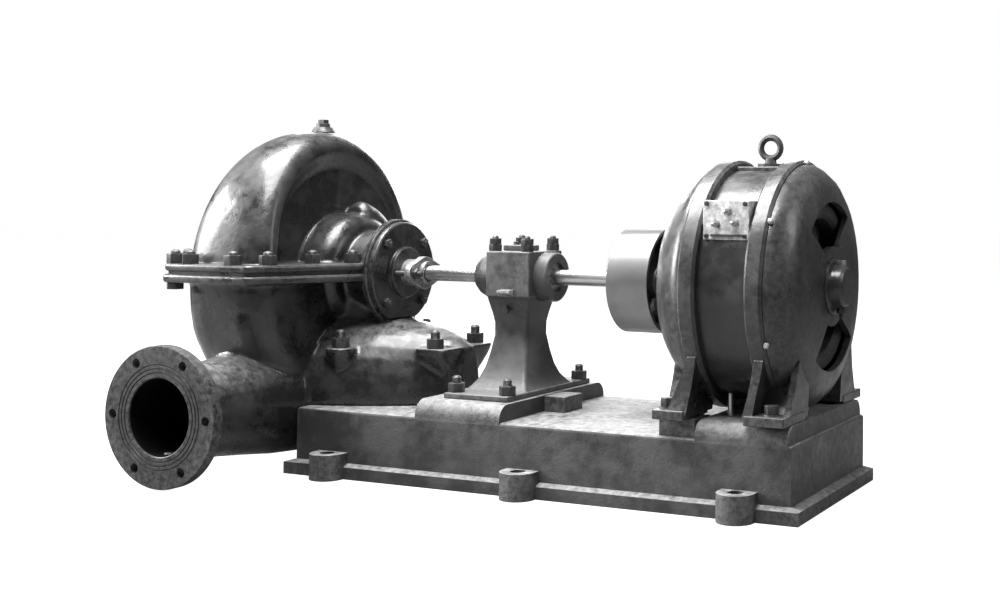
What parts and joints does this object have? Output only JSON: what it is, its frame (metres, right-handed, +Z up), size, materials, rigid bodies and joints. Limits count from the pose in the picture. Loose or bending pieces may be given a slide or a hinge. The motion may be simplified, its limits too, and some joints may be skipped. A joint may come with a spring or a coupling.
{
  "type": "centrifugal pump set",
  "caption": "Horizontally split centrifugal pump with a bearing pedestal, a coupling drum and an electric motor on one hollow cast base.",
  "frame": {"origin": "centre of the bounding box at the floor, under the underside of the base", "axes": "+X along the shaft from the pump to the motor, +Z up, the suction flange faces -Y"},
  "size_m": [1.783, 0.945, 0.8623],
  "materials": {
    "base_paint": "worn satin paint with dust",
    "pedestal_paint": "worn satin paint",
    "casing_paint": "satin paint over rough casting",
    "motor_paint": "satin paint",
    "insulating_plate": "dull",
    "winding": "varnished tape",
    "raw_iron": "bare and rubbed",
    "bronze": "turned",
    "bright_steel": "turned"
  },
  "bodies": {
    "set": {"alignment_block": "base_paint", "base_plate": "base_paint", "bearing_bush": "bronze", "bearing_cap": "pedestal_paint", "bearing_pedestal": "pedestal_paint", "drain_plug": "raw_iron", "gland": "bronze", "jack_pin_far": "bright_steel", "jack_pin_near": "bright_steel", "lifting_eye": "raw_iron", "lower_casing": "casing_paint", "motor_end_shield_drive": "motor_paint", "motor_end_shield_free": "motor_paint", "motor_frame": "motor_paint", "motor_hub_free": "motor_paint", "oil_lid": "pedestal_paint", "oil_spout": "pedestal_paint", "outboard_bearing_cap": "casing_paint", "outboard_cover": "casing_paint", "packing_block_far": "base_paint", "packing_block_near": "base_paint", "priming_plug": "raw_iron", "stuffing_box_cover": "casing_paint", "terminal_plate": "insulating_plate", "upper_casing": "casing_paint", "winding_ring": "winding"},
    "rotor": {"pump_shaft": "bright_steel", "coupling_drum": "bright_steel", "motor_shaft": "bright_steel"}
  },
  "joints": [
    {"name": "shaft_spin", "type": "hinge", "parent": "set", "child": "rotor", "pos_m": [0.4062, 0.0725, 0.472], "axis": [1, 0, 0], "continuous": true}
  ]
}
